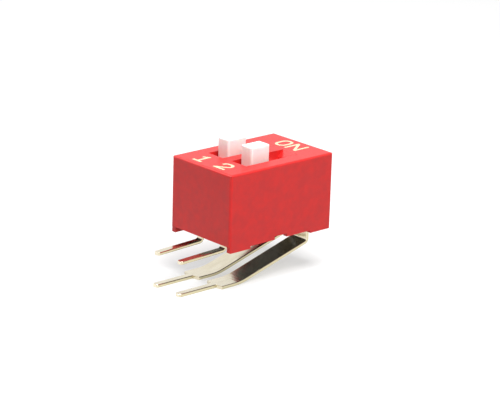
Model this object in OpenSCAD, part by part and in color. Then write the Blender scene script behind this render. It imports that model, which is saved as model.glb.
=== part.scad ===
// Two-position slide switch for a board edge: a moulded cover over a tub-shaped base, two slide
// actuators that each carry a bowed contact spring, and four formed leads that turn to lie level.
// X runs along the slide travel, from the board face of the cover (x = 0) towards ON.
// Y runs across the positions, Z runs up through the actuators. The origin is the middle of the
// four solder pins, in the plane of the board face.

/* [Cover] */
// Length of the cover along the slide travel
cover_l = 10; // [9.7:0.1:11]
// Width of the cover across the positions
cover_w = 6.5; // [6.3:0.1:7.4]
// Height of the cover from its feet to its top face
cover_h = 5.85; // [5.6:0.05:6.6]
// Thickness of the cover's side and end walls
cover_wall = 0.4; // [0.35:0.05:0.45]
// Thickness of the cover's top wall round the slots
cover_top = 0.8; // [0.65:0.05:0.9]
// Rounding of the cover's outer edges
cover_edge_r = 0.2; // [0.1:0.01:0.25]
// Depth of the feet below the end walls
foot_h = 0.45; // [0.4:0.05:0.6]
// Length of each foot along the side wall
foot_l = 1.95; // [1.5:0.05:2.4]
// How far each foot is set in from the end of the cover
foot_inset = 0.09; // [0.05:0.01:0.15]
// Height of the shallow relief between the feet
relief_h = 0.2; // [0.1:0.05:0.35]
// Length of the deeper notch in the middle of each side wall
notch_l = 1.2; // [0.8:0.1:2]
// Length of each actuator slot at the top face
slot_l = 5.1; // [5:0.05:5.3]
// Width of each actuator slot
slot_w = 1.64; // [1.5:0.02:1.7]
// Length of the slope at each end of a slot
ramp_l = 0.5; // [0.3:0.05:0.55]
// Depth of the slope at each end of a slot
ramp_h = 0.5; // [0.3:0.05:0.6]

/* [Actuators] */
// Distance between the two positions
pitch = 2.54; // [2.5:0.01:2.6]
// Distance that an actuator slides from off to on
travel = 1.94; // [1.6:0.02:2.2]
// Length of the knob along the travel
knob_l = 1.78; // [1.5:0.02:1.9]
// Height of the knob above the cover's top face
knob_h = 1.2; // [0.6:0.1:2]
// Rounding of the knob's edges
knob_edge_r = 0.16; // [0.08:0.01:0.2]
// Thickness of the plate that stays under the slot
plate_t = 0.7; // [0.5:0.05:0.8]
// Length of the shoe that holds the contact spring
shoe_l = 4.2; // [4:0.05:4.4]
// Wall left round the spring pocket in the shoe
shoe_wall = 0.28; // [0.2:0.02:0.34]
// Depth of the spring pocket in the shoe
pocket_h = 0.6; // [0.4:0.05:0.7]

/* [Base] */
// Thickness of the base's floor
floor_t = 1.2; // [0.9:0.05:1.4]
// Thickness of the base's end walls
base_end_wall = 0.4; // [0.3:0.02:0.44]
// Thickness of the rib between the two lanes
lane_rib = 0.4; // [0.3:0.02:0.5]
// Thickness of the sealing resin under the base
resin_t = 0.5; // [0.3:0.05:0.6]
// How far the resin stays back from the end walls' lower edge
resin_recess = 0.05; // [0.02:0.01:0.1]

/* [Leads] */
// Thickness of the lead strip
lead_t = 0.25; // [0.2:0.01:0.3]
// Width of the solder pins
pin_w = 0.58; // [0.44:0.02:0.64]
// Width of the contact pads and of the long leads' formed strip
strip_w = 1.7; // [1.4:0.05:1.8]
// Distance between the upper and lower rows of pins
row_gap = 2.54; // [2.5:0.01:2.6]
// Distance between the short leads' and the long leads' roots
root_span = 7.62; // [7.5:0.02:7.7]
// Height of the cover's feet above the middle of the pin rows
seat_h = 1.72; // [1.66:0.02:2]
// Reach of the upper pins past the board face
short_reach = 3.02; // [2.5:0.01:4]
// Reach of the lower pins past the board face
long_reach = 3.12; // [2.5:0.01:4]
// Droop of the upper pins, in degrees
short_droop = 2; // [0.5:0.1:3]
// Height above the middle of the pin rows at which the long leads turn
turn_h = 0.6; // [0.5:0.02:0.7]
// Distance from the board face at which the long leads become level
level_x = 2.24; // [2:0.02:2.6]
// Distance from the board face at which the long leads narrow to pins
shoulder_x = 0.3; // [0.1:0.05:0.6]
// Length of the taper at each shoulder
taper_l = 0.12; // [0.08:0.01:0.3]
// Chamfer on the corners of the pin tips
tip_c = 0.12; // [0.05:0.01:0.15]
// Radius of the tight bends, along the middle of the strip
tight_r = 0.3; // [0.2:0.01:0.4]
// Radius of the gentle bend where the long leads become level
gentle_r = 4.5; // [2:0.1:6]
// Gap between the two contact pads of a position
pad_gap = 0.5; // [0.4:0.02:0.7]
// How far the contact pads stand above the floor
pad_proud = 0.05; // [0.02:0.01:0.1]

/* [Contact springs] */
// Thickness of the contact spring
spring_t = 0.12; // [0.08:0.01:0.15]
// Width of the contact spring
spring_w = 1.1; // [0.8:0.02:1.2]
// Height of the spring's bow, along the middle of the leaf
bow_h = 0.83; // [0.75:0.01:0.9]
// Distance between the spring's two contact feet
feet_span = 2.6; // [2.5:0.02:2.8]
// Radius of the contact feet and of the spring's shoulders
spring_r = 0.35; // [0.25:0.01:0.4]
// Slope of the spring's arms, in degrees
arm_slope = 45; // [42:1:50]
// Slope of the toes past the contact feet, in degrees
toe_slope = 30; // [15:1:40]
// Length of each straight toe
toe_l = 0.1; // [0.05:0.01:0.2]

/* [Clearances] */
// Gap at each side of the knob in its slot
knob_gap = 0.23; // [0.18:0.01:0.27]
// Gap at each side of the actuator in its lane
lane_gap = 0.08; // [0.05:0.01:0.12]
// Gap above and below the plate that stays under the slot
plate_gap = 0.05; // [0.03:0.01:0.08]
// Gap between the plate and the cover's end wall at each end of the travel
stop_gap = 0.05; // [0.02:0.01:0.1]
// Gap between the base and the cover's inner walls
base_gap = 0.04; // [0.02:0.01:0.08]
// Running gap under the contact feet
contact_gap = 0.02; // [0.01:0.005:0.05]

/* [Hidden] */
positions = 2;
past = 1;          // how far a cutting shape runs past the face that it cuts
facet_angle = 6;   // largest turn of one facet of a bend, in degrees
facet_l = 0.1;     // longest facet of a bend
$fn = 48;

// heights, from the feet up
end_wall_z = seat_h + foot_h;
resin_z = end_wall_z + resin_recess;
floor_z = resin_z + resin_t;
floor_top_z = floor_z + floor_t;
pad_top_z = floor_top_z + pad_proud;
pad_z = pad_top_z - lead_t / 2;
top_z = seat_h + cover_h;
ceiling_z = top_z - cover_top;
plate_z = ceiling_z - plate_gap - plate_t;

// the cavity of the cover, the base in it, and the lanes in the base
mid_x = cover_l / 2;
cavity_l = cover_l - 2 * cover_wall;
cavity_w = cover_w - 2 * cover_wall;
base_l = cavity_l - 2 * base_gap;
base_w = cavity_w - 2 * base_gap;
lane_l = base_l - 2 * base_end_wall;
lane_w = pitch - lane_rib;

// the actuator: its plate stops against the cover's end walls
knob_w = slot_w - 2 * knob_gap;
slide_w = lane_w - 2 * lane_gap;
plate_l = cavity_l - travel - 2 * stop_gap;
rest_x = mid_x - travel / 2;

// the contact spring's middle line: the crown presses on the pocket's ceiling, and the lowest
// point of each foot's bend runs on the pads
foot_z = pad_top_z + contact_gap + spring_t / 2;
crown_z = foot_z + bow_h;
foot_turn = arm_slope + toe_slope;
foot_axis = (toe_slope - arm_slope) / 2 - 90;
foot_corner = [feet_span / 2, foot_z + spring_r]
              + spring_r / cos(foot_turn / 2) * [cos(foot_axis), sin(foot_axis)];
shoulder_corner = [foot_corner.x - (crown_z - foot_corner.y) / tan(arm_slope), crown_z];
toe_end = foot_corner + (spring_r * tan(foot_turn / 2) + toe_l) * [cos(toe_slope), sin(toe_slope)];
spring_path = mirrored([shoulder_corner, foot_corner, toe_end], [-1, 1]);
shoe_z = crown_z + spring_t / 2 - pocket_h;

// the leads' middle lines, from the contact pad to the pin's tip; the gap between the pads lies
// under the middle of a contact foot's travel
short_x = mid_x - root_span / 2;
long_x = mid_x + root_span / 2;
gap_x = mid_x + feet_span / 2;
upper_z = row_gap / 2;
short_path = [[gap_x - pad_gap / 2, pad_z], [short_x, pad_z],
              [short_x, upper_z + short_x * tan(short_droop)],
              [-short_reach, upper_z - short_reach * tan(short_droop)]];
long_path = [[gap_x + pad_gap / 2, pad_z], [long_x, pad_z], [long_x, turn_h],
             [level_x, -row_gap / 2], [-long_reach, -row_gap / 2]];

// Middle of a position's lane; position 1 is on the +Y side
function lane_y(i) = pitch * ((positions + 1) / 2 - i);
// Heading from point i of line p to the next point, in degrees
function heading(p, i) = atan2(p[i + 1].y - p[i].y, p[i + 1].x - p[i].x);
// Change of heading at point i, between -180 and 180 degrees
function turn(p, i) = (heading(p, i) - heading(p, i - 1) + 540) % 360 - 180;
// Length that the bend at point i takes from the straights on its two sides
function setback(p, r, i) = i == 0 || i == len(p) - 1 ? 0 : r[i - 1] * tan(abs(turn(p, i)) / 2);
// Number of facets of a bend by a degrees at radius r
function facets(a, r) = ceil(max(abs(a) / facet_angle, r * abs(a) * PI / 180 / facet_l));
// One edge of the strip round its bend at point i; side is 1 for the left edge, -1 for the right
function bend_edge(p, r, t, i, side) = let (
    a = turn(p, i), n = facets(a, r[i - 1]), h = heading(p, i - 1),
    centre = p[i] - setback(p, r, i) * [cos(h), sin(h)] + sign(a) * r[i - 1] * [-sin(h), cos(h)],
    reach = sign(a) * r[i - 1] - side * t / 2)
  [for (k = [0 : n]) centre + reach * [sin(h + a * k / n), -cos(h + a * k / n)]];
// One edge of the whole strip
function strip_edge(p, r, t, side) = let (last = len(p) - 1, h0 = heading(p, 0), h1 = heading(p, last - 1))
  concat([p[0] + side * t / 2 * [-sin(h0), cos(h0)]],
         [for (i = [1 : last - 1]) each bend_edge(p, r, t, i, side)],
         [p[last] + side * t / 2 * [-sin(h1), cos(h1)]]);
// The points of half a shape after their mirror image, which m = [-1, 1] or [1, -1] makes
function mirrored(half, m) = concat([for (k = [len(half) - 1 : -1 : 0]) [m.x * half[k].x, m.y * half[k].y]],
                                    half);

// Rectangle with round corners, centred on the origin
module round_rect(l, w, r) {
  square([l - 2 * r, w], center = true);
  square([l, w - 2 * r], center = true);
  for (x = [-1, 1], y = [-1, 1]) translate([x * (l / 2 - r), y * (w / 2 - r)]) circle(r);
}

// Extrudes a side view (x along, y up) across the part, centred on y = 0
module side_view(w) rotate([90, 0, 0]) linear_extrude(w, center = true) children();

// Block with every edge rounded, centred in x and y, with its lower face at z = 0
module soft_block(l, w, h, r) {
  translate([0, 0, h / 2]) intersection() {
    linear_extrude(h, center = true) round_rect(l, w, r);
    side_view(w) round_rect(l, h, r);
    rotate([90, 0, 90]) linear_extrude(l, center = true) round_rect(w, h, r);
  }
}

// Strip of thickness t along the middle line p, with a bend radius in r for each inner corner
module formed_strip(p, r, t) {
  right = strip_edge(p, r, t, -1);
  polygon(concat(strip_edge(p, r, t, 1), [for (k = [len(right) - 1 : -1 : 0]) right[k]]));
}

// Blank of a lead seen from above: a pin with a chamfered tip that widens to the full strip
module blank(tip_x, neck_x) {
  polygon(mirrored([[tip_x, pin_w / 2 - tip_c], [tip_x + tip_c, pin_w / 2], [neck_x, pin_w / 2],
                    [neck_x + taper_l, strip_w / 2], [cover_l, strip_w / 2]], [1, -1]));
}

// One stamped and formed lead: its blank bent along the middle line p
module lead(i, p, r, neck_x) {
  color("gold") translate([0, lane_y(i), 0]) intersection() {
    side_view(strip_w) formed_strip(p, r, lead_t);
    translate([0, 0, -row_gap]) linear_extrude(row_gap + top_z) blank(p[len(p) - 1].x, neck_x);
  }
}

// Side of the cover: two feet on each side wall, with a relief and a deeper notch between them
module cover_side() {
  foot_out = cover_l / 2 - foot_inset;
  foot_in = foot_out - foot_l;
  relief_z = seat_h + relief_h;
  polygon(mirrored([[notch_l / 2, end_wall_z], [notch_l / 2, relief_z], [foot_in, relief_z],
                    [foot_in, seat_h], [foot_out, seat_h], [foot_out, end_wall_z],
                    [cover_l / 2, end_wall_z], [cover_l / 2, top_z]], [-1, 1]));
}

// Side of an actuator slot: upright at the bottom, with a slope at each end up to the top face
module slot_side() {
  foot_x = slot_l / 2 - ramp_l;
  polygon(mirrored([[foot_x, ceiling_z - past], [foot_x, top_z - ramp_h], [slot_l / 2, top_z],
                    [slot_l / 2, top_z + past]], [-1, 1]));
}

// One moulded shell, open below, with a slot over each position
module cover() {
  color("red") difference() {
    translate([mid_x, 0, 0]) intersection() {
      translate([0, 0, seat_h - past]) soft_block(cover_l, cover_w, cover_h + past, cover_edge_r);
      side_view(cover_w) cover_side();
    }
    translate([cover_wall, -cavity_w / 2, 0]) cube([cavity_l, cavity_w, ceiling_z]);
    translate([-past, -cavity_w / 2, 0]) cube([cover_l + 2 * past, cavity_w, end_wall_z]);
    for (i = [1 : positions]) translate([mid_x, lane_y(i), 0]) side_view(slot_w) slot_side();
  }
}

// Tub with a lane for each actuator, moulded round the leads
module base() {
  color([0.09, 0.09, 0.1]) difference() {
    translate([mid_x - base_l / 2, -base_w / 2, floor_z]) cube([base_l, base_w, ceiling_z - floor_z]);
    for (i = [1 : positions]) translate([mid_x, lane_y(i), 0]) {
      translate([-lane_l / 2, -lane_w / 2, floor_top_z]) cube([lane_l, lane_w, cover_h]);
      translate([-base_l, -lane_w / 2, plate_z - plate_gap]) cube([2 * base_l, lane_w, cover_h]);
    }
    leads();
  }
}

// Poured seal that closes the cover round the roots of the leads
module sealing_resin() {
  color([0.06, 0.06, 0.07]) difference() {
    translate([cover_wall, -cavity_w / 2, resin_z]) cube([cavity_l, cavity_w, resin_t]);
    leads();
  }
}

// Actuator: the knob, the plate that stays under the slot, and the shoe with the spring's pocket
module slider(i) {
  color("white") translate([rest_x, lane_y(i), 0]) difference() {
    union() {
      translate([0, 0, plate_z]) soft_block(knob_l, knob_w, top_z + knob_h - plate_z, knob_edge_r);
      translate([-plate_l / 2, -slide_w / 2, plate_z]) cube([plate_l, slide_w, plate_t]);
      translate([-shoe_l / 2, -slide_w / 2, shoe_z]) cube([shoe_l, slide_w, plate_z - shoe_z]);
    }
    translate([shoe_wall - shoe_l / 2, shoe_wall - slide_w / 2, shoe_z - past])
      cube([shoe_l - 2 * shoe_wall, slide_w - 2 * shoe_wall, pocket_h + past]);
  }
}

// Bowed leaf with a foot at each end that bridges the two contact pads
module contact_spring(i) {
  color("gold") translate([rest_x, lane_y(i), 0]) side_view(spring_w)
    formed_strip(spring_path, [spring_r, spring_r, spring_r, spring_r], spring_t);
}

// Lead of the upper row: contact pad, leg through the base, and a pin that turns to lie level
module short_lead(i) lead(i, short_path, [tight_r, tight_r], short_x + tight_r + lead_t / 2);

// Lead of the lower row: contact pad, leg, a sloping run under the base, and a level pin
module long_lead(i) lead(i, long_path, [tight_r, tight_r, gentle_r], shoulder_x);

module leads() {
  for (i = [1 : positions]) {
    short_lead(i);
    long_lead(i);
  }
}

cover();
base();
sealing_resin();
for (i = [1 : positions]) {
  slider(i);
  contact_spring(i);
  short_lead(i);
  long_lead(i);
}
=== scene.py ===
from math import radians, sin, cos
import bmesh
import bpy
import numpy as np
from mathutils import Matrix, Vector


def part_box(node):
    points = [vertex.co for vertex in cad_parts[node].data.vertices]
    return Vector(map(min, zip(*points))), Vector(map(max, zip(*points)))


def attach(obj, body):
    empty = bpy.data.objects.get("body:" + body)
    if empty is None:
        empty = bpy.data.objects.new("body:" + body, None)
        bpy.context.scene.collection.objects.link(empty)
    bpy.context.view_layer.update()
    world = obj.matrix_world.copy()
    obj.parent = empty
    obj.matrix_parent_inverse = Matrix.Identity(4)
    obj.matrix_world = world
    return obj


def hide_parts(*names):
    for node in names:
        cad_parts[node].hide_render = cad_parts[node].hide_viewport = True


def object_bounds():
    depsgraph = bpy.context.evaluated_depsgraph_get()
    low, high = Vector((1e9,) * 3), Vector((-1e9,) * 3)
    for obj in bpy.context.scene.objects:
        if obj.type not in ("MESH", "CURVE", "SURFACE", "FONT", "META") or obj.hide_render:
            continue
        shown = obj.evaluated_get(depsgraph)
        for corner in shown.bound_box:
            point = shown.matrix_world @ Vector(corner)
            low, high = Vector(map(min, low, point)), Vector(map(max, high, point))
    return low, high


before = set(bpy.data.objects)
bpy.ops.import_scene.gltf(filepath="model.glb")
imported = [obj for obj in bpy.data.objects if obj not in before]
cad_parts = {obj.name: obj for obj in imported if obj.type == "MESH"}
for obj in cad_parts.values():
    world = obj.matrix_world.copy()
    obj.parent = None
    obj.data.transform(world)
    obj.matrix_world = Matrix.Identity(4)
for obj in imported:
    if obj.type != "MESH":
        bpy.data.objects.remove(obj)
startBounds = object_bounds()
mm = 0.001
print("stage 1: frame loaded,", len(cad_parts), "nodes")

# where things are, read from the frame
coverLow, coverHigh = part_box("cover")
midX = (coverLow.x + coverHigh.x) / 2
topZ = coverHigh.z
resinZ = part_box("sealing_resin")[0].z
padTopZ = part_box("short_lead_1")[1].z
positions = (1, 2)
sliderBoxes = {i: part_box(f"slider_{i}") for i in positions}
laneY = {i: (low.y + high.y) / 2 for i, (low, high) in sliderBoxes.items()}
sliderX = {i: (low.x + high.x) / 2 for i, (low, high) in sliderBoxes.items()}


# Piece from points in metres, on a grid of any shape, and faces that count them row by row
def addMesh(name, points, faces, material, smooth=True):
    mesh = bpy.data.meshes.new(name)
    mesh.from_pydata(points.reshape(-1, 3).tolist(), [], faces)
    mesh.polygons.foreach_set("use_smooth", np.full(len(mesh.polygons), smooth))
    mesh.materials.append(material)
    mesh.update()
    piece = bpy.data.objects.new(name, mesh)
    bpy.context.scene.collection.objects.link(piece)
    return piece


# Corner normals that keep flat faces flat beside fine rounding: each corner takes the sum of
# area * normal over the faces at its vertex that lie within an angle of its own face.
def evenNormals(mesh, within):
    vertex, sizes = np.empty(len(mesh.loops), int), np.empty(len(mesh.polygons), int)
    mesh.loops.foreach_get("vertex_index", vertex)
    mesh.polygons.foreach_get("loop_total", sizes)
    face = np.repeat(np.arange(len(sizes)), sizes)
    normal, area = np.empty(len(sizes) * 3), np.empty(len(sizes))
    mesh.polygons.foreach_get("normal", normal)
    mesh.polygons.foreach_get("area", area)
    normal = normal.reshape(-1, 3)
    order = np.argsort(vertex, kind="stable")
    first, count = np.unique(vertex[order], return_index=True, return_counts=True)[1:]
    group = np.searchsorted(np.unique(vertex), vertex[order])
    mine = np.repeat(order, count[group])
    step = np.arange(len(mine)) - np.repeat(np.cumsum(count[group]) - count[group], count[group])
    other = order[np.repeat(first[group], count[group]) + step]
    close = np.einsum("ij,ij->i", normal[face[mine]], normal[face[other]]) > cos(radians(within))
    total = np.zeros((len(vertex), 3))
    np.add.at(total, mine[close], (area[face[other], None] * normal[face[other]])[close])
    total /= np.linalg.norm(total, axis=1, keepdims=True)
    mesh.normals_split_custom_set(total.tolist())


# Quads of a grid of rows by columns: each joins a point to the next in its row and the same two in
# the next row. Every row closes on itself; with as many bands of quads as rows, the last row is
# joined to the first.
def gridQuads(rows, columns, bands):
    r, c = np.meshgrid(np.arange(bands), np.arange(columns), indexing="ij")
    row, nextRow, after = r * columns, (r + 1) % rows * columns, (c + 1) % columns
    return np.stack([row + c, row + after, nextRow + after, nextRow + c], -1).reshape(-1, 4)


# Tube with a cap on each end row
def tubeFaces(rows, columns):
    caps = [list(range(columns))[::-1], list(range((rows - 1) * columns, rows * columns))]
    return gridQuads(rows, columns, rows - 1).tolist() + caps


# Rectangle with round corners, a loop for each width and height: each corner's centre plus the
# corner radius times a direction that turns through its quarter.
def roundLoop(width, height, radius, steps=6):
    angle = np.linspace(0, np.pi / 2, steps)[None, :] + np.arange(4)[:, None] * np.pi / 2
    signs = np.array([[1, 1], [-1, 1], [-1, -1], [1, -1]])[:, None, :]
    half = np.stack(np.broadcast_arrays(width / 2 - radius, height / 2 - radius), -1)
    turning = radius * np.stack([np.cos(angle), np.sin(angle)], -1)
    return (half[..., None, None, :] * signs + turning).reshape(*half.shape[:-1], -1, 2)


# Middle line through the corners, each rounded by its radius: the bend starts and ends
# radius * tan(turn / 2) from the corner, and the heading turns evenly along it, in steps of at most
# bendStep degrees and with at least fewest places.
def formedLine(corners, radii, bendStep=4, fewest=4):
    corners = np.array(corners, float)
    leg = np.diff(corners, axis=0)
    length = np.hypot(leg[:, 0], leg[:, 1])
    unit = leg / length[:, None]
    heading = np.arctan2(leg[:, 1], leg[:, 0])
    turn = (np.diff(heading) + np.pi) % (2 * np.pi) - np.pi
    places, headings = [corners[:1]], [heading[:1]]
    for i, (angle, radius) in enumerate(zip(turn, radii)):
        share = np.linspace(0, 1, max(fewest, int(abs(angle) / radians(bendStep)) + 2))
        now = heading[i] + angle * share
        side = np.sign(angle) * radius
        start = corners[i + 1] - radius * np.tan(abs(angle) / 2) * unit[i]
        centre = start + side * np.array([-unit[i, 1], unit[i, 0]])
        places.append(centre + side * np.stack([np.sin(now), -np.cos(now)], -1))
        headings.append(now)
    places.append(corners[-1:])
    headings.append(heading[-1:])
    return np.concatenate(places), np.unwrap(np.concatenate(headings))


# Length along a line from its start: the sum of the steps before each place
def lengthAlong(places):
    return np.concatenate([[0], np.cumsum(np.hypot(*np.diff(places, axis=0).T))])


# The line and its headings again at other lengths along it, in straight steps between its places
def resampled(places, headings, stops):
    along = lengthAlong(places)
    return (np.stack([np.interp(stops, along, places[:, k]) for k in (0, 1)], -1),
            np.interp(stops, along, headings))


# Carries a loop along an upright line (x and z): place + across * (0, 1, 0) + up * the line's
# normal
def carriedUpright(places, headings, loops, y):
    zero, one = np.zeros(len(places)), np.ones(len(places))
    middle = np.stack([places[:, 0], np.full(len(places), y), places[:, 1]], -1)
    across = np.stack([zero, one, zero], -1)
    normal = np.stack([-np.sin(headings), zero, np.cos(headings)], -1)
    return middle[:, None] + loops[..., :1] * across[:, None] + loops[..., 1:] * normal[:, None]


# Carries a loop along a line that lies flat (x and y) at height z: place + across * the line's left
# side + up * (0, 0, 1)
def carriedFlat(places, headings, loops, z):
    zero, one = np.zeros(len(places)), np.ones(len(places))
    middle = np.stack([places[:, 0], places[:, 1], np.full(len(places), z)], -1)
    left = np.stack([-np.sin(headings), np.cos(headings), zero], -1)
    upright = np.stack([zero, zero, one], -1)
    return middle[:, None] + loops[..., :1] * left[:, None] + loops[..., 1:] * upright[:, None]


# materials: a new one with its nodes, links and main shader
def newMaterial(name):
    material = bpy.data.materials.new(name)
    material.use_nodes = True
    nodes, links = material.node_tree.nodes, material.node_tree.links
    return material, nodes, links, nodes["Principled BSDF"]


# Math node on one, two or three values, each a number or a socket
def mathNode(nodes, links, operation, first, second=None, third=None):
    node = nodes.new("ShaderNodeMath")
    node.operation = operation
    for place, value in enumerate((first, second, third)):
        if isinstance(value, (int, float)):
            node.inputs[place].default_value = value
        elif value is not None:
            links.new(value, node.inputs[place])
    return node.outputs[0]


# Mix of two colours, first * (1 - share) + second * share; the second is a socket or a plain
# colour. A Mix node's colours are its inputs 6 and 7 and its output 2.
def mixColours(nodes, links, share, first, second):
    mix = nodes.new("ShaderNodeMix")
    mix.data_type = "RGBA"
    links.new(share, mix.inputs[0])
    links.new(first, mix.inputs[6])
    if isinstance(second, tuple):
        mix.inputs[7].default_value = (*second, 1)
    else:
        links.new(second, mix.inputs[7])
    return mix.outputs[2]


# Node group with its inputs (name, kind and starting value) and outputs (name and kind)
def newGroup(name, inputs, outputs):
    group = bpy.data.node_groups.new(name, "ShaderNodeTree")
    for socketName, kind, start in inputs:
        socket = group.interface.new_socket(socketName, in_out="INPUT", socket_type=kind)
        socket.default_value = start
    for socketName, kind in outputs:
        group.interface.new_socket(socketName, in_out="OUTPUT", socket_type=kind)
    return group, group.nodes.new("NodeGroupInput"), group.nodes.new("NodeGroupOutput")


# what all finishes share: detail and roughness of the two noises, the span of the broad one that
# takes the shade from one colour to the other, and how far a cut edge faces sideways
texture = {"grainNoise": (3.0, 0.6), "patchNoise": (4.0, 0.55), "patchSpan": (0.35, 0.65),
           "edgeSpan": (0.5, 0.9)}


# Moulded, poured, printed or rolled surface: fine noise for the height and the gloss, broad noise
# for the shade; the gloss is roughness + (grain - a half) * spread
def surfaceGroup():
    group, given, result = newGroup("surfaceVariation", (
        ("Colour", "NodeSocketColor", (0.5, 0.5, 0.5, 1)),
        ("Second Colour", "NodeSocketColor", (0.4, 0.4, 0.4, 1)),
        ("Roughness", "NodeSocketFloat", 0.4),
        ("Roughness Spread", "NodeSocketFloat", 0.1),
        ("Grain Size", "NodeSocketFloat", 0.05 * mm),
        ("Patch Size", "NodeSocketFloat", 1.0 * mm),
        ("Stretch", "NodeSocketVector", (1, 1, 1)),
        ("Depth", "NodeSocketFloat", 0.002 * mm)),
        (("Colour", "NodeSocketColor"), ("Roughness", "NodeSocketFloat"),
         ("Normal", "NodeSocketVector")))
    nodes, links = group.nodes, group.links
    place = nodes.new("ShaderNodeTexCoord")
    stretched = nodes.new("ShaderNodeVectorMath")
    stretched.operation = "MULTIPLY"
    links.new(place.outputs["Object"], stretched.inputs[0])
    links.new(given.outputs["Stretch"], stretched.inputs[1])

    def noiseAt(size, detail, roughness):
        noise = nodes.new("ShaderNodeTexNoise")
        noise.inputs["Detail"].default_value = detail
        noise.inputs["Roughness"].default_value = roughness
        links.new(stretched.outputs[0], noise.inputs["Vector"])
        links.new(mathNode(nodes, links, "DIVIDE", 1.0, size), noise.inputs["Scale"])
        return noise.outputs["Fac"]

    grain = noiseAt(given.outputs["Grain Size"], *texture["grainNoise"])
    patch = noiseAt(given.outputs["Patch Size"], *texture["patchNoise"])
    spread = nodes.new("ShaderNodeMapRange")
    spread.inputs["From Min"].default_value, spread.inputs["From Max"].default_value = \
        texture["patchSpan"]
    links.new(patch, spread.inputs["Value"])
    shade = mixColours(nodes, links, spread.outputs[0], given.outputs["Colour"],
                       given.outputs["Second Colour"])
    offset = mathNode(nodes, links, "SUBTRACT", grain, 0.5)
    gloss = mathNode(nodes, links, "MULTIPLY_ADD", offset, given.outputs["Roughness Spread"],
                     given.outputs["Roughness"])
    bump = nodes.new("ShaderNodeBump")
    links.new(grain, bump.inputs["Height"])
    links.new(given.outputs["Depth"], bump.inputs["Distance"])
    links.new(shade, result.inputs["Colour"])
    links.new(gloss, result.inputs["Roughness"])
    links.new(bump.outputs["Normal"], result.inputs["Normal"])
    return group


# Band along one axis: 0 at From, 1 at To; it carries the painted bounce light and shade on the
# actuators
def bandGroup():
    group, given, result = newGroup("paintedBounceBand", (
        ("Axis", "NodeSocketVector", (0, 0, 1)),
        ("From", "NodeSocketFloat", 0.0),
        ("To", "NodeSocketFloat", 1.0)),
        (("Mask", "NodeSocketFloat"),))
    nodes, links = group.nodes, group.links
    place = nodes.new("ShaderNodeTexCoord")
    along = nodes.new("ShaderNodeVectorMath")
    along.operation = "DOT_PRODUCT"
    links.new(place.outputs["Object"], along.inputs[0])
    links.new(given.outputs["Axis"], along.inputs[1])
    paintedBounce = nodes.new("ShaderNodeMapRange")
    paintedBounce.interpolation_type = "SMOOTHSTEP"
    links.new(along.outputs["Value"], paintedBounce.inputs["Value"])
    links.new(given.outputs["From"], paintedBounce.inputs["From Min"])
    links.new(given.outputs["To"], paintedBounce.inputs["From Max"])
    links.new(paintedBounce.outputs[0], result.inputs["Mask"])
    return group


# Cut edges of a strip: the mask goes from 0 to 1 as |normal y| goes over its span, so that it is 1
# where the surface faces sideways
def edgeGroup():
    group, _, result = newGroup("cutEdge", (), (("Mask", "NodeSocketFloat"),))
    nodes, links = group.nodes, group.links
    place, parts = nodes.new("ShaderNodeTexCoord"), nodes.new("ShaderNodeSeparateXYZ")
    links.new(place.outputs["Normal"], parts.inputs[0])
    edge = nodes.new("ShaderNodeMapRange")
    edge.interpolation_type = "SMOOTHSTEP"
    edge.inputs["From Min"].default_value, edge.inputs["From Max"].default_value = \
        texture["edgeSpan"]
    links.new(mathNode(nodes, links, "ABSOLUTE", parts.outputs["Y"]), edge.inputs["Value"])
    links.new(edge.outputs[0], result.inputs["Mask"])
    return group


surfaceVariation = surfaceGroup()
paintedBounceBand = bandGroup()
cutEdge = edgeGroup()
surfaceSockets = {"colour": "Colour", "second": "Second Colour", "roughness": "Roughness",
                  "spread": "Roughness Spread", "grain": "Grain Size", "patch": "Patch Size",
                  "stretch": "Stretch", "depth": "Depth"}
bandSockets = {"axis": "Axis", "start": "From", "end": "To"}


# Group placed in a material, with the values that its look gives; a colour gets its alpha of 1
def placeGroup(nodes, tree, sockets, look):
    group = nodes.new("ShaderNodeGroup")
    group.node_tree = tree
    for key, socket in sockets.items():
        if key in look:
            value = look[key]
            isColour = key in ("colour", "second")
            group.inputs[socket].default_value = (*value, 1) if isColour else value
    return group


# Material from its look: the shared surface, then the look's own band of painted bounce light and
# shade or its cut edge over its colour, each by mask * share
def finishMaterial(name, look):
    material, nodes, links, shader = newMaterial(name)
    surface = placeGroup(nodes, surfaceVariation, surfaceSockets, look)
    colour = surface.outputs["Colour"]
    for key, tree, sockets in (("paintedBounce", paintedBounceBand, bandSockets), ("edge", cutEdge, {})):
        if key in look:
            over = placeGroup(nodes, tree, sockets, look[key])
            share = mathNode(nodes, links, "MULTIPLY", over.outputs["Mask"], look[key]["share"])
            colour = mixColours(nodes, links, share, colour, look[key]["colour"])
    links.new(colour, shader.inputs["Base Color"])
    links.new(surface.outputs["Roughness"], shader.inputs["Roughness"])
    links.new(surface.outputs["Normal"], shader.inputs["Normal"])
    for socket, value in look.get("shader", {}).items():
        shader.inputs[socket].default_value = value
    return material
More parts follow.
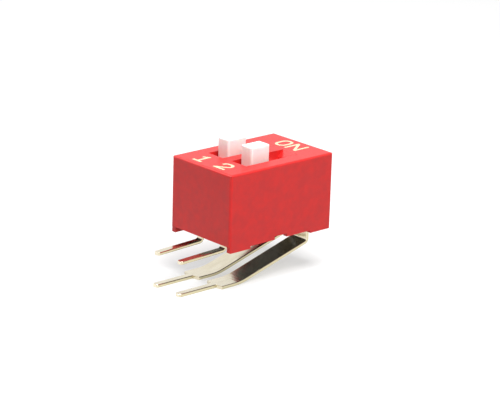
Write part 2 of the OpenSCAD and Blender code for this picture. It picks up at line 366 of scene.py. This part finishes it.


# grain, patch and depth are sizes; the actuators' band is painted light: the red bounced up on them
# by the cover and the shade at their feet, painted darker and redder towards the cover's top
looks = {
    "redPlastic": {
        "colour": (0.66, 0.017, 0.015), "second": (0.57, 0.018, 0.018),
        "roughness": 0.36, "spread": 0.3,
        "grain": 0.05 * mm, "patch": 0.7 * mm, "depth": 0.0025 * mm,
        "shader": {"Specular IOR Level": 0.38},
    },
    "whitePlastic": {
        "colour": (0.90, 0.88, 0.87), "second": (0.87, 0.84, 0.83),
        "roughness": 0.34, "spread": 0.2,
        "grain": 0.06 * mm, "patch": 0.5 * mm, "depth": 0.0015 * mm,
        # painted bounce light and shade: redder and darker towards the actuators' feet
        "paintedBounce": {"axis": (0, 0, 1), "start": topZ + 0.9 * mm, "end": topZ,
                 "colour": (0.84, 0.60, 0.54), "share": 0.55},
        "shader": {"Subsurface Weight": 0.35, "Subsurface Scale": 1.0,
                   "Subsurface Radius": (0.5 * mm, 0.38 * mm, 0.32 * mm)},
    },
    "blackPlastic": {
        "colour": (0.012, 0.012, 0.013), "second": (0.02, 0.019, 0.019),
        "roughness": 0.5, "spread": 0.3,
        "grain": 0.08 * mm, "depth": 0.004 * mm,
    },
    "blackResin": {
        "colour": (0.008, 0.008, 0.010), "second": (0.013, 0.012, 0.012),
        "roughness": 0.25, "spread": 0.25,
        "grain": 0.35 * mm, "patch": 0.8 * mm, "depth": 0.03 * mm,
    },
    "palePlating": {
        "colour": (0.81, 0.75, 0.60), "second": (0.75, 0.68, 0.52),
        "roughness": 0.15, "spread": 0.12,
        "grain": 0.07 * mm, "patch": 0.45 * mm, "stretch": (0.35, 1.0, 1.0), "depth": 0.0008 * mm,
        "edge": {"colour": (0.62, 0.56, 0.36), "share": 0.9},
        "shader": {"Metallic": 1.0},
    },
    "springMetal": {
        "colour": (0.80, 0.60, 0.32), "second": (0.72, 0.53, 0.30),
        "roughness": 0.2, "spread": 0.1,
        "grain": 0.06 * mm, "patch": 0.4 * mm, "stretch": (0.3, 1.0, 1.0), "depth": 0.001 * mm,
        "shader": {"Metallic": 1.0},
    },
    "creamInk": {
        "colour": (0.97, 0.64, 0.43), "second": (0.93, 0.53, 0.35),
        "roughness": 0.55, "spread": 0.2,
        "grain": 0.05 * mm, "patch": 0.16 * mm, "depth": 0.002 * mm,
    },
}
materials = {name: finishMaterial(name, look) for name, look in looks.items()}

nodeFinishes = {
    "cover": "redPlastic", "base": "blackPlastic", "sealing_resin": "blackResin",
    "slider_1": "whitePlastic", "slider_2": "whitePlastic",
    "contact_spring_1": "springMetal", "contact_spring_2": "springMetal",
    "short_lead_1": "palePlating", "short_lead_2": "palePlating",
    "long_lead_1": "palePlating", "long_lead_2": "palePlating",
}
for node, name in nodeFinishes.items():
    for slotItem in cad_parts[node].material_slots:
        slotItem.material = materials[name]
print("stage 2: materials made")

# moulded pieces: the cover and the two actuators; lengths in metres, angles in degrees
moulded = {"merge": 0.0005 * mm, "bevel": 0.04 * mm, "bevelSteps": 2, "bevelFrom": 50,
           "flatWithin": 1.0, "smoothWithin": 40}


# Copy of a solid's mesh with its doubled points merged and its flat regions joined, so that the
# rounded edges shade evenly and a fine bevel runs along the sharp ones
def softCopy(name, nodeName, material, body):
    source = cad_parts[nodeName]
    shape = bmesh.new()
    shape.from_mesh(source.data)
    shape.transform(source.matrix_world)
    bmesh.ops.remove_doubles(shape, verts=shape.verts, dist=moulded["merge"])
    bmesh.ops.dissolve_limit(shape, angle_limit=radians(moulded["flatWithin"]), verts=shape.verts,
                             edges=shape.edges)
    bmesh.ops.recalc_face_normals(shape, faces=shape.faces)
    mesh = bpy.data.meshes.new(name)
    shape.to_mesh(mesh)
    shape.free()
    mesh.materials.append(material)
    piece = bpy.data.objects.new(name, mesh)
    bpy.context.scene.collection.objects.link(piece)
    bevel = piece.modifiers.new("edgeBreak", "BEVEL")
    bevel.width = moulded["bevel"]
    bevel.segments = moulded["bevelSteps"]
    bevel.limit_method = "ANGLE"
    bevel.angle_limit = radians(moulded["bevelFrom"])
    bpy.context.view_layer.update()
    finished = piece.evaluated_get(bpy.context.evaluated_depsgraph_get())
    piece.data = bpy.data.meshes.new_from_object(finished)
    piece.modifiers.clear()
    piece.data.polygons.foreach_set("use_smooth", np.full(len(piece.data.polygons), True))
    evenNormals(piece.data, moulded["smoothWithin"])
    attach(piece, body)
    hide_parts(nodeName)


softCopy("mouldedCover", "cover", materials["redPlastic"], "housing")
for i in positions:
    softCopy(f"actuator{i}", f"slider_{i}", materials["whitePlastic"], f"actuator_{i}")
print("stage 3: cover and actuators")

# leads: rows and roots on the board grid, bent from flat strip; lengths in mm, angles in degrees
leads = {
    "thickness": 0.25, "edge": 0.08, "pinWidth": 0.58, "stripWidth": 1.7, "taper": 0.12,
    "tipChamfer": 0.12, "stationStep": 0.12, "creaseStep": 0.002, "rootSpan": 7.62, "rowGap": 2.54,
    "tightBend": 0.3, "gentleBend": 4.5, "padGap": 0.5, "droop": 2.0, "turnZ": 0.6, "levelX": 2.24,
    "shoulderX": 0.3, "smoothWithin": 40,
}


# Corners of the two middle lines, x and z from the contact pad to the tip: pad, root, bend under
# the body, then the pin, level on the long lead and at z = row + x * tan(droop) on the short one
def leadForms():
    middle, padZ = midX / mm, padTopZ / mm - leads["thickness"] / 2
    padEnd = middle + springs["feetSpan"] / 2
    nearRoot, farRoot = middle - leads["rootSpan"] / 2, middle + leads["rootSpan"] / 2
    fall, row = np.tan(radians(leads["droop"])), leads["rowGap"] / 2
    shortTip, longTip = (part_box(f"{kind}_lead_1")[0].x / mm for kind in ("short", "long"))
    tight, gentle = leads["tightBend"], leads["gentleBend"]
    short = {"corners": ((padEnd - leads["padGap"] / 2, padZ), (nearRoot, padZ),
                         (nearRoot, row + nearRoot * fall), (shortTip, row + shortTip * fall)),
             "radii": (tight, tight), "neck": nearRoot + tight + leads["thickness"] / 2,
             "rootWidth": leads["pinWidth"]}
    long = {"corners": ((padEnd + leads["padGap"] / 2, padZ), (farRoot, padZ),
                        (farRoot, leads["turnZ"]), (leads["levelX"], -row), (longTip, -row)),
            "radii": (tight, tight, gentle), "neck": leads["shoulderX"],
            "rootWidth": leads["stripWidth"]}
    return short, long


# One stamped strip: a rounded section carried along the formed line. Its width at a place depends
# on the place's x alone, as on the flat blank: chamfered tip, pin, taper, full strip. Each change
# of width has a station at it and one a crease step past it.
def addLead(name, form, y, nodeName):
    places, headings = formedLine(form["corners"], form["radii"])
    along = lengthAlong(places)
    tip, neck = form["corners"][-1][0], form["neck"]
    breaksX = np.array([neck + leads["taper"], neck, tip + leads["tipChamfer"]])
    lastRun = along >= along[-1] - (form["corners"][-2][0] - tip)
    breaks = np.interp(-breaksX, -places[lastRun, 0], along[lastRun])  # x falls along the last run
    even = np.arange(0, along[-1], leads["stationStep"])
    stops = np.unique(np.concatenate([along, breaks, even, breaks + leads["creaseStep"]]))
    stops = stops[stops <= along[-1]]
    places, headings = resampled(places, headings, stops)
    pinWidth, chamfer = leads["pinWidth"], leads["tipChamfer"]
    width = np.interp(places[:, 0], [tip, tip + chamfer, neck, neck + leads["taper"]],
                      [pinWidth - 2 * chamfer, pinWidth, pinWidth, leads["stripWidth"]])
    loops = roundLoop(width, np.full(len(width), leads["thickness"]), leads["edge"])
    points = carriedUpright(places, headings, loops, y / mm) * mm
    piece = addMesh(name, points, tubeFaces(*points.shape[:2]), materials["palePlating"])
    evenNormals(piece.data, leads["smoothWithin"])
    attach(piece, "housing")
    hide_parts(nodeName)


# contact springs: a bowed leaf whose two feet run on the pads; lengths in mm, angles in degrees
springs = {"thickness": 0.12, "width": 1.1, "edge": 0.02, "radius": 0.35, "bow": 0.83,
           "feetSpan": 2.6, "armSlope": 45, "toeSlope": 30, "toe": 0.1, "runningGap": 0.02,
           "smoothWithin": 40}


# Corners of the leaf's middle line from the actuator's middle. Each foot's corner lies
# radius / cos(half its turn) from the centre of its bend, along the bend's middle direction.
def springCorners():
    r, arm, toe = springs["radius"], radians(springs["armSlope"]), radians(springs["toeSlope"])
    footZ = padTopZ / mm + springs["runningGap"] + springs["thickness"] / 2
    crownZ, halfTurn, axis = footZ + springs["bow"], (arm + toe) / 2, (toe - arm) / 2 - np.pi / 2
    foot = np.array([springs["feetSpan"] / 2, footZ + r]) \
        + r / cos(halfTurn) * np.array([cos(axis), sin(axis)])
    shoulder = np.array([foot[0] - (crownZ - foot[1]) / np.tan(arm), crownZ])
    end = foot + (r * np.tan(halfTurn) + springs["toe"]) * np.array([cos(toe), sin(toe)])
    half = np.array([shoulder, foot, end])
    return np.concatenate([half[::-1] * [-1, 1], half])


# One bowed leaf: the same rounded section carried along the spring's formed line
def addSpring(name, i):
    corners = springCorners() + [sliderX[i] / mm, 0]
    places, headings = formedLine(corners, [springs["radius"]] * (len(corners) - 2))
    loops = roundLoop(np.full(len(places), springs["width"]),
                      np.full(len(places), springs["thickness"]), springs["edge"])
    points = carriedUpright(places, headings, loops, laneY[i] / mm) * mm
    piece = addMesh(name, points, tubeFaces(*points.shape[:2]), materials["springMetal"])
    evenNormals(piece.data, springs["smoothWithin"])
    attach(piece, f"actuator_{i}")
    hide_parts(f"contact_spring_{i}")


shortForm, longForm = leadForms()
for i in positions:
    addLead(f"upperLead{i}", shortForm, laneY[i], f"short_lead_{i}")
    addLead(f"lowerLead{i}", longForm, laneY[i], f"long_lead_{i}")
    addSpring(f"contactLeaf{i}", i)
print("stage 4: leads and springs")

# resin drawn out along the roots of the leads; lengths in mm, angles in degrees
collars = {"reach": 0.16, "drop": 0.07, "sink": 0.02, "steps": 7, "corner": 0.02, "sharpFrom": 50}


# Hollow fillet round one root: where it is out by reach * (1 - sin t), it hangs by
# drop * (1 - cos t), for t from 0 at the resin to a quarter turn at the lead; two rows sunk in the
# resin close it
def addCollar(name, x, y, length, width):
    t = np.linspace(0, np.pi / 2, collars["steps"])
    out = collars["reach"] * (1 - np.sin(t))
    fall = collars["drop"] * (1 - np.cos(t))
    out = np.concatenate([[out[0]], out, [0]])
    fall = np.concatenate([[-collars["sink"]], fall, [-collars["sink"]]])
    loops = roundLoop(length + 2 * out, width + 2 * out, collars["corner"])
    z = resinZ / mm - fall[:, None] * np.ones(loops.shape[1])
    points = np.stack([x + loops[..., 0], y / mm + loops[..., 1], z], -1) * mm
    rows, columns = points.shape[:2]
    faces = gridQuads(rows, columns, rows)[:, ::-1].tolist()
    piece = addMesh(name, points, faces, materials["blackResin"])
    piece.data.set_sharp_from_angle(angle=radians(collars["sharpFrom"]))
    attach(piece, "housing")


for i in positions:
    for name, form in (("shortRoot", shortForm), ("longRoot", longForm)):
        addCollar(f"{name}Collar{i}", form["corners"][1][0], laneY[i], leads["thickness"],
                  form["rootWidth"])
print("stage 5: resin collars")

# printed marks: u runs to the reader's right (-Y) and v up (+X) from each mark's lower left corner;
# lengths in mm, bendStep in degrees, rimStart in radians
ink = {
    "width": 0.23, "height": 0.012, "sink": 0.002, "sectionSteps": 11, "domePower": 6,
    "endRadius": 0.05, "rimStart": 0.12, "rimSteps": 6, "step": 0.03, "stepDigits": 4,
    "bendStep": 9, "ringSteps": 72, "ringPower": 2.4,
    "marks": {
        "one": {"x": 0.47, "y": 1.72, "strokes": (
            {"corners": ((0.56, 0.06), (0.56, 1.40)), "radii": ()},
            {"corners": ((0.60, 1.33), (0.40, 1.14), (0.12, 1.05)), "radii": (0.25,)},
            {"corners": ((0.10, 0.125), (1.02, 0.125)), "radii": ()})},
        "two": {"x": 0.51, "y": -0.55, "strokes": (
            {"corners": ((0.14, 0.92), (0.14, 1.275), (1.06, 1.275), (1.06, 0.74), (0.16, 0.16)),
             "radii": (0.34, 0.36, 0.3)},
            {"corners": ((0.04, 0.125), (1.22, 0.125)), "radii": ()})},
        "wordO": {"x": 7.95, "y": 1.23, "ring": (1.10, 1.50)},
        "wordN": {"x": 7.94, "y": -0.06, "strokes": (
            {"corners": ((0.125, 0.0), (0.125, 1.50)), "radii": ()},
            {"corners": ((0.17, 1.42), (1.07, 0.08)), "radii": ()},
            {"corners": ((1.115, 0.0), (1.115, 1.50)), "radii": ()})},
    },
}


# Thin domed section: across = half width * cos t and up = height * (1 - cos t to the dome power),
# for t from 0 to half a turn; the flat side lies just inside the plastic
def inkLoops(width):
    t = np.linspace(0, np.pi, ink["sectionSteps"])
    across = width[:, None] / 2 * np.cos(t)
    up = ink["height"] * (1 - np.cos(t) ** ink["domePower"]) - ink["sink"]
    return np.stack([across, np.broadcast_to(up, across.shape)], -1)


# Turns a mark's own u and v into x and y: x = corner + v, y = corner - u, a quarter turn clockwise
def onTop(mark, places, headings):
    x, y = mark["x"] + places[:, 1], mark["y"] - places[:, 0]
    return np.stack([x, y], -1), headings - np.pi / 2


# One stroke with rounded ends: at a distance d from an end, up to the end radius r, its width is
# the full width - 2 * r + 2 * the square root of r squared - (r - d) squared
def addStroke(name, mark, stroke):
    places, headings = formedLine(stroke["corners"], stroke["radii"], ink["bendStep"])
    along, r = lengthAlong(places), ink["endRadius"]
    total = along[-1]
    rim = r * (1 - np.cos(np.linspace(ink["rimStart"], np.pi / 2, ink["rimSteps"])))
    even = np.arange(r, total - r, ink["step"])
    stops = np.concatenate([along[1:-1], even, rim, total - rim])
    stops = np.unique(np.round(stops, ink["stepDigits"]))
    places, headings = resampled(places, headings, stops)
    fromEnd = np.minimum(np.minimum(stops, total - stops), r)
    width = ink["width"] - 2 * r + 2 * np.sqrt(r ** 2 - (r - fromEnd) ** 2)
    points = carriedFlat(*onTop(mark, places, headings), inkLoops(width), topZ / mm) * mm
    piece = addMesh(name, points, tubeFaces(*points.shape[:2]), materials["creamInk"])
    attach(piece, "housing")


# Closed ring with the same section: from its middle, |u / a| and |v / b| to the ring power p add up
# to 1, with u = a * cos t and v = b * sin t, each cos and sin to the power 2 / p with its sign kept
def addRing(name, mark):
    size = np.array(mark["ring"])
    halves = size / 2 - ink["width"] / 2
    t = np.linspace(0, 2 * np.pi, ink["ringSteps"], endpoint=False)
    turning = np.stack([np.cos(t), np.sin(t)], -1)
    places = size / 2 + halves * np.sign(turning) * np.abs(turning) ** (2 / ink["ringPower"])
    ahead = np.roll(places, -1, axis=0) - np.roll(places, 1, axis=0)
    headings = np.arctan2(ahead[:, 1], ahead[:, 0])
    loops = inkLoops(np.full(len(t), ink["width"]))
    points = carriedFlat(*onTop(mark, places, headings), loops, topZ / mm) * mm
    rows, columns = points.shape[:2]
    piece = addMesh(name, points, gridQuads(rows, columns, rows).tolist(), materials["creamInk"])
    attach(piece, "housing")


for markName, mark in ink["marks"].items():
    if "ring" in mark:
        addRing(markName, mark)
    else:
        for k, stroke in enumerate(mark["strokes"]):
            addStroke(f"{markName}Stroke{k + 1}", mark, stroke)
print("stage 6: printed marks")

# floor, lights and camera; lengths in metres, angles in degrees
studio = {"floorZ": startBounds[0].z - 0.002 * mm, "floorHalf": 1.5, "paleShare": 0.5,
          "seenColour": (0.86, 0.86, 0.86), "bounceColour": (0.28, 0.28, 0.28), "ambient": 0.30}


# Mask that is 1 where the floor or the world is seen straight, in a reflection or through something
def seenMask(nodes, links):
    rays = nodes.new("ShaderNodeLightPath").outputs
    seen = mathNode(nodes, links, "MAXIMUM", rays["Is Camera Ray"], rays["Is Glossy Ray"])
    return mathNode(nodes, links, "MAXIMUM", seen, rays["Is Transmission Ray"])


# The floor looks pale and takes the shadow, but sends less light back up under the body
def addFloor():
    half, z = studio["floorHalf"], studio["floorZ"]
    points = np.array([[-half, -half, z], [half, -half, z], [half, half, z], [-half, half, z]])
    material, nodes, links, bounce = newMaterial("paleFloor")
    bounce.inputs["Base Color"].default_value = (*studio["bounceColour"], 1)
    bounce.inputs["Specular IOR Level"].default_value = 0.0
    matt, glow = nodes.new("ShaderNodeBsdfDiffuse"), nodes.new("ShaderNodeEmission")
    matt.inputs["Color"].default_value = (*studio["seenColour"], 1)
    pale, blend = nodes.new("ShaderNodeMixShader"), nodes.new("ShaderNodeMixShader")
    pale.inputs[0].default_value = studio["paleShare"]
    links.new(matt.outputs[0], pale.inputs[1])
    links.new(glow.outputs[0], pale.inputs[2])
    links.new(seenMask(nodes, links), blend.inputs[0])
    links.new(bounce.outputs[0], blend.inputs[1])
    links.new(pale.outputs[0], blend.inputs[2])
    links.new(blend.outputs[0], nodes["Material Output"].inputs["Surface"])
    addMesh("floor", points, [[0, 1, 2, 3]], material, smooth=False)


# The world is seen white and lights the object at the ambient strength
def setWorld():
    world = bpy.data.worlds.new("softWhite")
    bpy.context.scene.world = world
    world.use_nodes = True
    nodes, links = world.node_tree.nodes, world.node_tree.links
    plain, shown = nodes["Background"], nodes.new("ShaderNodeBackground")
    for background, strength in ((plain, studio["ambient"]), (shown, 1.0)):
        background.inputs["Color"].default_value = (1, 1, 1, 1)
        background.inputs["Strength"].default_value = strength
    blend = nodes.new("ShaderNodeMixShader")
    links.new(seenMask(nodes, links), blend.inputs[0])
    links.new(plain.outputs[0], blend.inputs[1])
    links.new(shown.outputs[0], blend.inputs[2])
    links.new(blend.outputs[0], nodes["World Output"].inputs["Surface"])


# Direction at an azimuth a (0 is the -Y side, 90 the +X side) and an elevation e, in degrees:
# x = sin a * cos e, y = -cos a * cos e, z = sin e
def towards(azimuth, elevation):
    a, e = radians(azimuth), radians(elevation)
    return Vector((sin(a) * cos(e), -cos(a) * cos(e), sin(e)))


aim = Vector((midX, 0, (topZ + coverLow.z) / 2))
lamps = {
    "overhead": {"azimuth": -15, "elevation": 70, "distance": 0.20, "size": 0.12, "watts": 0.56},
    "front": {"azimuth": -36, "elevation": 30, "distance": 0.30, "size": 0.10, "watts": 0.20},
    "back": {"azimuth": -157, "elevation": 40, "distance": 0.25, "size": 0.12, "watts": 0.16},
}


# Each round lamp stands at the aim plus its distance in its own direction, and faces the aim
def addLamps():
    for name, lamp in lamps.items():
        light = bpy.data.lights.new(name, "AREA")
        light.shape = "DISK"
        light.size = lamp["size"]
        light.energy = lamp["watts"]
        holder = bpy.data.objects.new(name, light)
        back = towards(lamp["azimuth"], lamp["elevation"])
        holder.location = aim + back * lamp["distance"]
        holder.rotation_euler = (-back).to_track_quat("-Z", "Y").to_euler()
        bpy.context.scene.collection.objects.link(holder)


# as a camera's are, the lens and the sensor are in millimetres
viewpoint = {"azimuth": -42.41, "elevation": 17.69, "roll": 1.73, "distance": 170.04 * mm,
             "right": -0.074 * mm, "up": 2.18 * mm, "lens": 165.66, "sensor": 36,
             "clipStart": 1 * mm, "clipEnd": 20}


# The camera's axes are the view direction and two at right angles to it, turned by the roll. It
# stands at the middle of the cover's foot plus right, up and back times its offsets along them.
def addCamera():
    back = towards(viewpoint["azimuth"], viewpoint["elevation"])
    level = Vector((0, 0, 1)).cross(back).normalized()
    upright = back.cross(level)
    roll = radians(viewpoint["roll"])
    right = level * cos(roll) + upright * sin(roll)
    up = upright * cos(roll) - level * sin(roll)
    place = Vector((midX, 0, coverLow.z)) + right * viewpoint["right"] + up * viewpoint["up"] \
        + back * viewpoint["distance"]
    turned = Matrix((right, up, back)).transposed().to_4x4()
    camera = bpy.data.objects.new("camera", bpy.data.cameras.new("camera"))
    camera.data.lens = viewpoint["lens"]
    camera.data.sensor_width = viewpoint["sensor"]
    camera.data.clip_start = viewpoint["clipStart"]
    camera.data.clip_end = viewpoint["clipEnd"]
    camera.matrix_world = Matrix.Translation(place) @ turned
    bpy.context.scene.collection.objects.link(camera)
    bpy.context.scene.camera = camera


addFloor()
setWorld()
addLamps()
addCamera()
bpy.context.scene.view_settings.view_transform = "Standard"
print("stage 7: floor, lights and camera")
